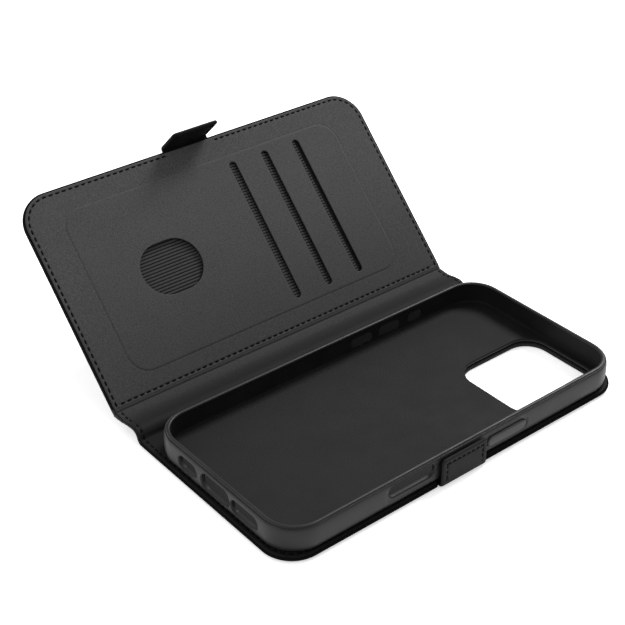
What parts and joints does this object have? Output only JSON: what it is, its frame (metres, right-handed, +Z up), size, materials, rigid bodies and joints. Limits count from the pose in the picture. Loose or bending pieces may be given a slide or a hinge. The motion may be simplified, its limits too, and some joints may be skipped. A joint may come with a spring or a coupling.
{
  "type": "phone wallet case",
  "caption": "Book-style leather wallet case with a soft phone shell, a cover with card pockets and a thumb hole, a folding spine and a magnetic strap clasp.",
  "frame": {"origin": "on the underside of the back panel, below the middle of the phone shell", "axes": "+X from the spine to the open edge, +Y towards the top of the phone, +Z up from the table through the phone's screen"},
  "size_m": [0.1583, 0.156, 0.0736],
  "materials": {
    "outer_leather": "black coated leather with a fine grain, satin",
    "lining_leather": "charcoal brushed lining leather, matt",
    "ribbed_cloth": "black ribbed pocket cloth, matt",
    "board": "grey fibreboard stiffener, hidden",
    "glue_film": "double-sided film, hidden",
    "soft_shell": "black soft plastic shell, satin",
    "button_pad": "black soft plastic, satin, the shell's own material",
    "thread": "black polyester sewing thread",
    "magnet": "plated flat magnet, hidden"
  },
  "bodies": {
    "back": {"back_outer_skin": "outer_leather", "back_board": "board", "back_lining": "lining_leather", "back_seam_thread": "thread", "tray_adhesive": "glue_film", "phone_tray": "soft_shell"},
    "spine": {"spine_outer_skin": "outer_leather", "spine_strip": "board", "spine_lining": "lining_leather"},
    "cover": {"cover_outer_skin": "outer_leather", "cover_board": "board", "pocket_backing": "ribbed_cloth", "inner_pocket_divider": "ribbed_cloth", "outer_pocket_divider": "ribbed_cloth", "pocket_panel": "lining_leather", "cover_seam_thread": "thread"},
    "clasp_flap": {"clasp_flap_outer_skin": "outer_leather", "clasp_flap_magnet": "magnet", "clasp_flap_lining": "lining_leather", "clasp_flap_thread": "thread"},
    "clasp_tab": {"clasp_tab_outer_skin": "outer_leather", "clasp_tab_magnet": "magnet", "clasp_tab_lining": "lining_leather", "clasp_tab_thread": "thread"},
    "power_button": {"power_button_pad": "button_pad"},
    "volume_up": {"volume_up_pad": "button_pad"},
    "volume_down": {"volume_down_pad": "button_pad"},
    "action_button": {"action_button_pad": "button_pad"}
  },
  "joints": [
    {"name": "back_fold", "type": "hinge", "parent": "back", "child": "spine", "pos_m": [-0.0435, 0, 0.00093], "axis": [0, 1, 0], "range_deg": [-102.5, 77.5]},
    {"name": "cover_fold", "type": "hinge", "parent": "spine", "child": "cover", "pos_m": [-0.05912, 0, 0.00439], "axis": [0, 1, 0], "range_deg": [-122.5, 57.5]},
    {"name": "flap_fold", "type": "hinge", "parent": "cover", "child": "clasp_flap", "pos_m": [-0.11859, 0, 0.06386], "axis": [0, 1, 0], "range_deg": [-165, 0]},
    {"name": "tab_fold", "type": "hinge", "parent": "back", "child": "clasp_tab", "pos_m": [0.0387, 0, 0.00093], "axis": [0, -1, 0], "range_deg": [-90, 0]},
    {"name": "power_button_press", "type": "slide", "parent": "back", "child": "power_button", "axis": [-1, 0, 0], "range_m": [0, 0.0004], "stiffness_N_per_m": 2500},
    {"name": "volume_up_press", "type": "slide", "parent": "back", "child": "volume_up", "axis": [1, 0, 0], "range_m": [0, 0.0004], "stiffness_N_per_m": 2500},
    {"name": "volume_down_press", "type": "slide", "parent": "back", "child": "volume_down", "axis": [1, 0, 0], "range_m": [0, 0.0004], "stiffness_N_per_m": 2500},
    {"name": "action_button_press", "type": "slide", "parent": "back", "child": "action_button", "axis": [1, 0, 0], "range_m": [0, 0.0004], "stiffness_N_per_m": 2500}
  ]
}
